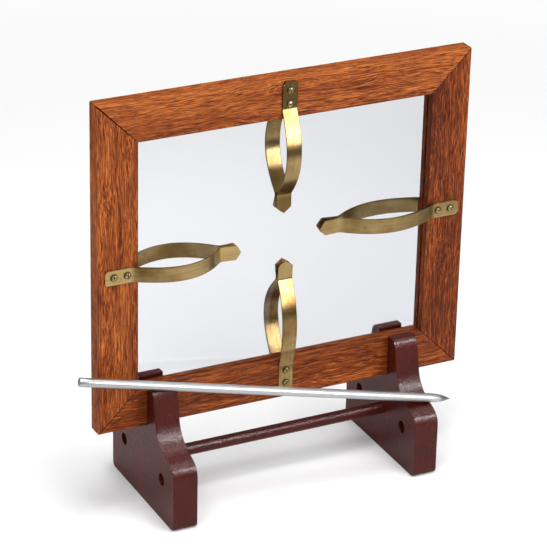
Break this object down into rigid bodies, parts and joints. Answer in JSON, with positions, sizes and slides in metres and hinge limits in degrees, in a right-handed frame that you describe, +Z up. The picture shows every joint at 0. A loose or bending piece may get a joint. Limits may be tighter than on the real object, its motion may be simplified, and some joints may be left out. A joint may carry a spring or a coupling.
{
  "type": "clip frame on cradle stand",
  "caption": "Mitred wooden frame with a glass pane and opposed brass spring clips, upright in a two-footed cradle stand, with a loose pointed rod.",
  "frame": {"origin": "middle of the object's box, on the surface the feet stand on", "axes": "+X to the right along the frame's width, +Y to the back across its thickness, +Z up"},
  "size_m": [0.3708, 0.131, 0.3776],
  "materials": {
    "mahogany": "satin varnish over open reddish-brown grain",
    "clear_glass": "clear, polished",
    "brushed_brass": "aged, brushed along the strip",
    "brass_screws": "aged, domed and slotted",
    "maroon_enamel": "gloss maroon-brown enamel over sawn wood",
    "satin_aluminium": "satin, drawn along its length"
  },
  "bodies": {
    "stand": {"left_foot": "maroon_enamel", "right_foot": "maroon_enamel", "cross_dowel": "maroon_enamel"},
    "frame": {"top_rail": "mahogany", "right_stile": "mahogany", "bottom_rail": "mahogany", "left_stile": "mahogany", "glass_pane": "clear_glass", "top_front_tab": "brushed_brass", "top_front_inner_screw": "brass_screws", "top_front_outer_screw": "brass_screws", "top_back_tab": "brushed_brass", "top_back_inner_screw": "brass_screws", "top_back_outer_screw": "brass_screws", "right_front_tab": "brushed_brass", "right_front_inner_screw": "brass_screws", "right_front_outer_screw": "brass_screws", "right_back_tab": "brushed_brass", "right_back_inner_screw": "brass_screws", "right_back_outer_screw": "brass_screws", "bottom_front_tab": "brushed_brass", "bottom_front_inner_screw": "brass_screws", "bottom_front_outer_screw": "brass_screws", "bottom_back_tab": "brushed_brass", "bottom_back_inner_screw": "brass_screws", "bottom_back_outer_screw": "brass_screws", "left_front_tab": "brushed_brass", "left_front_inner_screw": "brass_screws", "left_front_outer_screw": "brass_screws", "left_back_tab": "brushed_brass", "left_back_inner_screw": "brass_screws", "left_back_outer_screw": "brass_screws"},
    "rod": {"rod": "satin_aluminium"},
    "top_front_leaf": {"top_front_leaf": "brushed_brass"},
    "top_back_leaf": {"top_back_leaf": "brushed_brass"},
    "right_front_leaf": {"right_front_leaf": "brushed_brass"},
    "right_back_leaf": {"right_back_leaf": "brushed_brass"},
    "bottom_front_leaf": {"bottom_front_leaf": "brushed_brass"},
    "bottom_back_leaf": {"bottom_back_leaf": "brushed_brass"},
    "left_front_leaf": {"left_front_leaf": "brushed_brass"},
    "left_back_leaf": {"left_back_leaf": "brushed_brass"}
  },
  "joints": [
    {"name": "frame_lift", "type": "slide", "parent": "stand", "child": "frame", "axis": [0, 0, 1], "range_m": [0, 0.07]},
    {"name": "rod_lift", "type": "slide", "parent": "stand", "child": "rod", "axis": [0, -0.7071, 0.7071], "range_m": [0, 0.12]},
    {"name": "top_front_flex", "type": "hinge", "parent": "frame", "child": "top_front_leaf", "pos_m": [0.0104, -0.0087, 0.349], "axis": [-1, 0, 0], "range_deg": [0, 10], "stiffness_Nm_per_rad": 1.8, "springref_deg": -2.86},
    {"name": "top_back_flex", "type": "hinge", "parent": "frame", "child": "top_back_leaf", "pos_m": [0.0104, 0.0087, 0.349], "axis": [1, 0, 0], "range_deg": [0, 10], "stiffness_Nm_per_rad": 1.8, "springref_deg": -2.86},
    {"name": "right_front_flex", "type": "hinge", "parent": "frame", "child": "right_front_leaf", "pos_m": [0.1542, -0.0087, 0.23], "axis": [0, 0, 1], "range_deg": [0, 10], "stiffness_Nm_per_rad": 1.8, "springref_deg": -2.86},
    {"name": "right_back_flex", "type": "hinge", "parent": "frame", "child": "right_back_leaf", "pos_m": [0.1542, 0.0087, 0.23], "axis": [0, 0, -1], "range_deg": [0, 10], "stiffness_Nm_per_rad": 1.8, "springref_deg": -2.86},
    {"name": "bottom_front_flex", "type": "hinge", "parent": "frame", "child": "bottom_front_leaf", "pos_m": [0.0132, -0.0087, 0.1075], "axis": [1, 0, 0], "range_deg": [0, 10], "stiffness_Nm_per_rad": 1.8, "springref_deg": -2.86},
    {"name": "bottom_back_flex", "type": "hinge", "parent": "frame", "child": "bottom_back_leaf", "pos_m": [0.0132, 0.0087, 0.1075], "axis": [-1, 0, 0], "range_deg": [0, 10], "stiffness_Nm_per_rad": 1.8, "springref_deg": -2.86},
    {"name": "left_front_flex", "type": "hinge", "parent": "frame", "child": "left_front_leaf", "pos_m": [-0.1332, -0.0087, 0.2225], "axis": [0, 0, -1], "range_deg": [0, 10], "stiffness_Nm_per_rad": 1.8, "springref_deg": -2.86},
    {"name": "left_back_flex", "type": "hinge", "parent": "frame", "child": "left_back_leaf", "pos_m": [-0.1332, 0.0087, 0.2225], "axis": [0, 0, 1], "range_deg": [0, 10], "stiffness_Nm_per_rad": 1.8, "springref_deg": -2.86}
  ]
}
